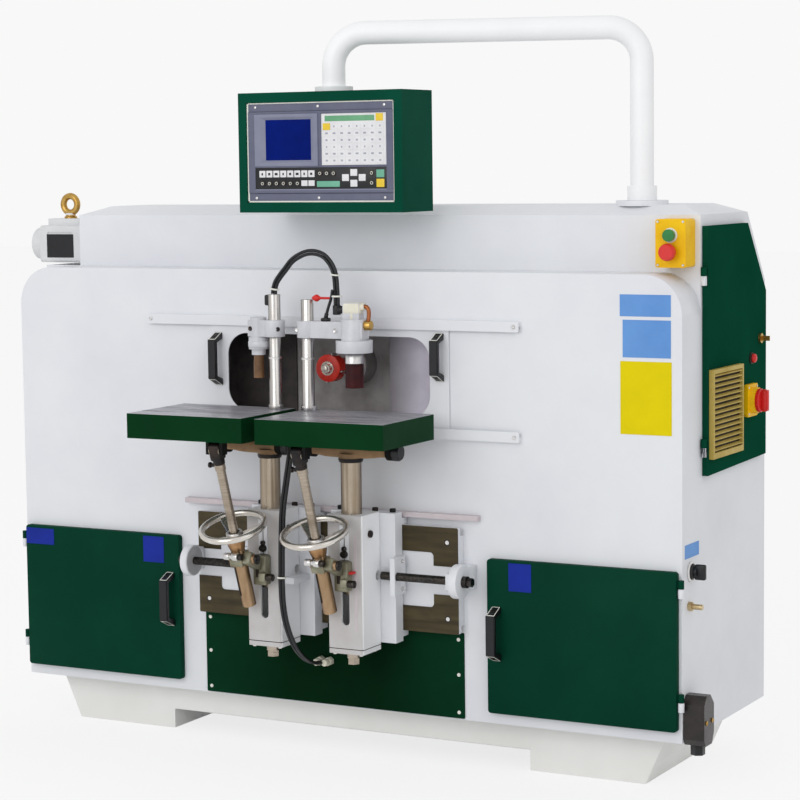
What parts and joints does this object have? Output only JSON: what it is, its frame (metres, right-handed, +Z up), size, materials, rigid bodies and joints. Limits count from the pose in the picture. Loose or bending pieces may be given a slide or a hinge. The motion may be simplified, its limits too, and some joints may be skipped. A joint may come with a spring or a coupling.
{
  "type": "cnc tenoning machine",
  "caption": "Floor-standing CNC tenoning machine: cabinet with a guarded cutter, tilting lifting tables with handwheels and air clamps, and a swivel control pendant.",
  "frame": {"origin": "on the floor, at the middle of the four anchor bolts", "axes": "+X to the right seen from the front, +Y to the back, +Z up"},
  "size_m": [1.9802, 0.88, 1.798],
  "materials": {
    "white_paint": "satin off-white enamel",
    "green_paint": "satin dark green enamel",
    "yellow_plastic": "moulded",
    "red_plastic": "moulded",
    "green_plastic": "moulded",
    "black_plastic": "moulded",
    "grille_plastic": "moulded",
    "hose_rubber": "air hose",
    "oiled_iron": "oiled machined ways",
    "steel": "ground",
    "dark_steel": "blackened",
    "chrome": "polished",
    "brass": "turned",
    "motor_paint": "grey enamel",
    "pad": "pressed",
    "zinc": "bright sheet",
    "cutter_red": "gloss enamel"
  },
  "bodies": {
    "machine": {"base_frame": "white_paint", "cabinet_body": "white_paint", "front_cover": "white_paint", "roof_cover": "white_paint", "kick_panel": "green_paint", "supply_hose": "hose_rubber", "guard_rails": "white_paint", "slide_bed": "oiled_iron", "screw_bearings": "white_paint", "cutter_chamber": "zinc", "cross_beam": "dark_steel", "cross_motor": "motor_paint", "push_button_box": "yellow_plastic", "air_inlet": "brass", "mains_inlet": "black_plastic", "tool_boxes": "white_paint", "electrical_panel": "zinc"},
    "guard": {"guard_panel": "white_paint", "guard_handles": "black_plastic"},
    "left_door": {"left_door": "green_paint"},
    "right_door": {"right_door": "green_paint"},
    "electrical_door": {"electrical_door": "green_paint", "vent_grille": "grille_plastic", "isolator_base": "yellow_plastic"},
    "isolator_knob": {"isolator_knob": "red_plastic"},
    "door_lock": {"door_lock": "brass"},
    "start_button": {"start_button": "green_plastic"},
    "stop_button": {"stop_button": "red_plastic"},
    "air_valve_knob": {"air_valve_knob": "black_plastic"},
    "pendant_arm": {"pendant_arm": "white_paint"},
    "pendant": {"pendant_box": "green_paint", "pendant_panel": "zinc"},
    "cross_carriage": {"cross_carriage": "dark_steel"},
    "cross_screw": {"cross_screw": "steel"},
    "spindle_slide": {"lift_slide": "dark_steel", "spindle_housing": "dark_steel"},
    "cutter_head": {"cutter_head": "cutter_red"},
    "left_unit": {"left_saddle": "white_paint", "left_column_box": "white_paint"},
    "left_lead_screw": {"left_lead_screw": "dark_steel"},
    "left_lift_screw": {"left_lift_screw": "dark_steel"},
    "left_post": {"left_post": "steel"},
    "left_table": {"left_table": "green_paint", "left_clamp": "steel"},
    "left_press_pad": {"left_press_pad": "pad"},
    "left_strut_screw": {"left_strut_screw": "steel"},
    "left_strut_sleeve": {"left_strut_sleeve": "oiled_iron"},
    "left_handwheel": {"left_handwheel": "chrome"},
    "right_unit": {"right_saddle": "white_paint", "right_column_box": "white_paint"},
    "right_lead_screw": {"right_lead_screw": "dark_steel"},
    "right_lift_screw": {"right_lift_screw": "dark_steel"},
    "right_post": {"right_post": "steel"},
    "right_table": {"right_table": "green_paint", "right_clamp": "steel", "clamp_hose": "hose_rubber"},
    "right_press_pad": {"right_press_pad": "pad"},
    "right_strut_screw": {"right_strut_screw": "steel"},
    "right_strut_sleeve": {"right_strut_sleeve": "oiled_iron"},
    "right_handwheel": {"right_handwheel": "chrome"}
  },
  "joints": [
    {"name": "guard_slide", "type": "slide", "parent": "machine", "child": "guard", "axis": [1, 0, 0], "range_m": [-0.18, 0.18]},
    {"name": "left_door_hinge", "type": "hinge", "parent": "machine", "child": "left_door", "pos_m": [-0.926, -0.284, 0.352], "axis": [0, 0, -1], "range_deg": [0, 110]},
    {"name": "right_door_hinge", "type": "hinge", "parent": "machine", "child": "right_door", "pos_m": [0.926, -0.284, 0.352], "axis": [0, 0, 1], "range_deg": [0, 110]},
    {"name": "electrical_door_hinge", "type": "hinge", "parent": "machine", "child": "electrical_door", "pos_m": [0.933, -0.16, 1], "axis": [0, 0, -1], "range_deg": [0, 110]},
    {"name": "isolator_turn", "type": "hinge", "parent": "electrical_door", "child": "isolator_knob", "pos_m": [0.95, 0.125, 0.88], "axis": [1, 0, 0], "range_deg": [0, 90]},
    {"name": "door_lock_turn", "type": "hinge", "parent": "electrical_door", "child": "door_lock", "pos_m": [0.93, 0.199, 1.024], "axis": [1, 0, 0], "range_deg": [0, 90]},
    {"name": "air_valve_turn", "type": "hinge", "parent": "machine", "child": "air_valve_knob", "pos_m": [0.93, -0.223, 0.515], "axis": [1, 0, 0], "range_deg": [-90, 0]},
    {"name": "start_push", "type": "slide", "parent": "machine", "child": "start_button", "axis": [0, 1, 0], "range_m": [0, 0.004], "stiffness_N_per_m": 300, "springref_m": -0.003},
    {"name": "stop_push", "type": "slide", "parent": "machine", "child": "stop_button", "axis": [0, 1, 0], "range_m": [0, 0.004], "stiffness_N_per_m": 300, "springref_m": -0.003},
    {"name": "arm_swivel", "type": "hinge", "parent": "machine", "child": "pendant_arm", "pos_m": [0.74, -0.06, 1.5], "axis": [0, 0, 1], "range_deg": [0, 45]},
    {"name": "pendant_swivel", "type": "hinge", "parent": "pendant_arm", "child": "pendant", "pos_m": [0.03503, -0.28498, 1.65], "axis": [0, 0, 1], "range_deg": [-12, 12]},
    {"name": "cross_travel", "type": "slide", "parent": "machine", "child": "cross_carriage", "axis": [1, 0, 0], "range_m": [-0.12, 0.12]},
    {"name": "cross_screw_turn", "type": "hinge", "parent": "machine", "child": "cross_screw", "pos_m": [0, -0.09, 1.255], "axis": [1, 0, 0], "range_deg": [-4400, 4400]},
    {"name": "spindle_lift", "type": "slide", "parent": "cross_carriage", "child": "spindle_slide", "axis": [0, 0, 1], "range_m": [-0.06, 0.03]},
    {"name": "spindle_spin", "type": "hinge", "parent": "spindle_slide", "child": "cutter_head", "pos_m": [-0.012, -0.151, 0.959], "axis": [0, 1, 0], "continuous": true},
    {"name": "left_traverse", "type": "slide", "parent": "machine", "child": "left_unit", "axis": [1, 0, 0], "range_m": [-0.12, 0.01], "deforming": ["clamp_hose"]},
    {"name": "left_lead_screw_turn", "type": "hinge", "parent": "machine", "child": "left_lead_screw", "pos_m": [-0.3, -0.3542, 0.474], "axis": [1, 0, 0], "range_deg": [-4400, 4400]},
    {"name": "left_lift", "type": "slide", "parent": "left_unit", "child": "left_post", "axis": [0, 0, 1], "range_m": [-0.06, 0.035], "deforming": ["clamp_hose"]},
    {"name": "left_lift_screw_turn", "type": "hinge", "parent": "left_unit", "child": "left_lift_screw", "pos_m": [-0.097, -0.3952, 0.4], "axis": [0, 0, 1], "range_deg": [-2400, 2400]},
    {"name": "left_tilt", "type": "hinge", "parent": "left_post", "child": "left_table", "pos_m": [-0.097, -0.3952, 0.779], "axis": [1, 0, 0], "range_deg": [-5, 18], "deforming": ["clamp_hose"]},
    {"name": "left_press", "type": "slide", "parent": "left_table", "child": "left_press_pad", "axis": [0, 0, 1], "range_m": [-0.045, 0], "stiffness_N_per_m": 500, "springref_m": 0.05},
    {"name": "left_sleeve_swing", "type": "hinge", "parent": "left_post", "child": "left_strut_sleeve", "pos_m": [-0.125, -0.4972, 0.517], "axis": [1, 0, 0], "range_deg": [-10, 10]},
    {"name": "left_strut_swing", "type": "hinge", "parent": "left_table", "child": "left_strut_screw", "pos_m": [-0.125, -0.59, 0.79], "axis": [1, 0, 0], "range_deg": [-20, 20]},
    {"name": "left_handwheel_turn", "type": "hinge", "parent": "left_strut_sleeve", "child": "left_handwheel", "pos_m": [-0.125, -0.4972, 0.517], "axis": [0, -0.3218, 0.9468], "range_deg": [-1200, 1200]},
    {"name": "right_traverse", "type": "slide", "parent": "machine", "child": "right_unit", "axis": [1, 0, 0], "range_m": [-0.01, 0.12], "deforming": ["clamp_hose", "supply_hose"]},
    {"name": "right_lead_screw_turn", "type": "hinge", "parent": "machine", "child": "right_lead_screw", "pos_m": [0.3, -0.3542, 0.474], "axis": [1, 0, 0], "range_deg": [-4400, 4400]},
    {"name": "right_lift", "type": "slide", "parent": "right_unit", "child": "right_post", "axis": [0, 0, 1], "range_m": [-0.06, 0.035], "deforming": ["clamp_hose", "supply_hose"]},
    {"name": "right_lift_screw_turn", "type": "hinge", "parent": "right_unit", "child": "right_lift_screw", "pos_m": [0.129, -0.3952, 0.4], "axis": [0, 0, 1], "range_deg": [-2400, 2400]},
    {"name": "right_tilt", "type": "hinge", "parent": "right_post", "child": "right_table", "pos_m": [0.129, -0.3952, 0.779], "axis": [1, 0, 0], "range_deg": [-5, 18], "deforming": ["clamp_hose", "supply_hose"]},
    {"name": "right_press", "type": "slide", "parent": "right_table", "child": "right_press_pad", "axis": [0, 0, 1], "range_m": [-0.045, 0], "stiffness_N_per_m": 500, "springref_m": 0.05},
    {"name": "right_sleeve_swing", "type": "hinge", "parent": "right_post", "child": "right_strut_sleeve", "pos_m": [0.101, -0.4972, 0.517], "axis": [1, 0, 0], "range_deg": [-10, 10]},
    {"name": "right_strut_swing", "type": "hinge", "parent": "right_table", "child": "right_strut_screw", "pos_m": [0.101, -0.59, 0.79], "axis": [1, 0, 0], "range_deg": [-20, 20]},
    {"name": "right_handwheel_turn", "type": "hinge", "parent": "right_strut_sleeve", "child": "right_handwheel", "pos_m": [0.101, -0.4972, 0.517], "axis": [0, -0.3218, 0.9468], "range_deg": [-1200, 1200]}
  ],
  "couplings": [
    {"joint": "cross_screw_turn", "follows": "cross_travel", "rad_per_m": 628.32},
    {"joint": "left_lead_screw_turn", "follows": "left_traverse", "rad_per_m": 628.32},
    {"joint": "left_lift_screw_turn", "follows": "left_lift", "rad_per_m": 628.32},
    {"joint": "left_sleeve_swing", "follows": "left_tilt", "ratio": 0.2072},
    {"joint": "left_strut_swing", "follows": "left_tilt", "ratio": -0.7928},
    {"joint": "left_handwheel_turn", "follows": "left_tilt", "ratio": -60},
    {"joint": "right_lead_screw_turn", "follows": "right_traverse", "rad_per_m": 628.32},
    {"joint": "right_lift_screw_turn", "follows": "right_lift", "rad_per_m": 628.32},
    {"joint": "right_sleeve_swing", "follows": "right_tilt", "ratio": 0.2072},
    {"joint": "right_strut_swing", "follows": "right_tilt", "ratio": -0.7928},
    {"joint": "right_handwheel_turn", "follows": "right_tilt", "ratio": -60}
  ]
}
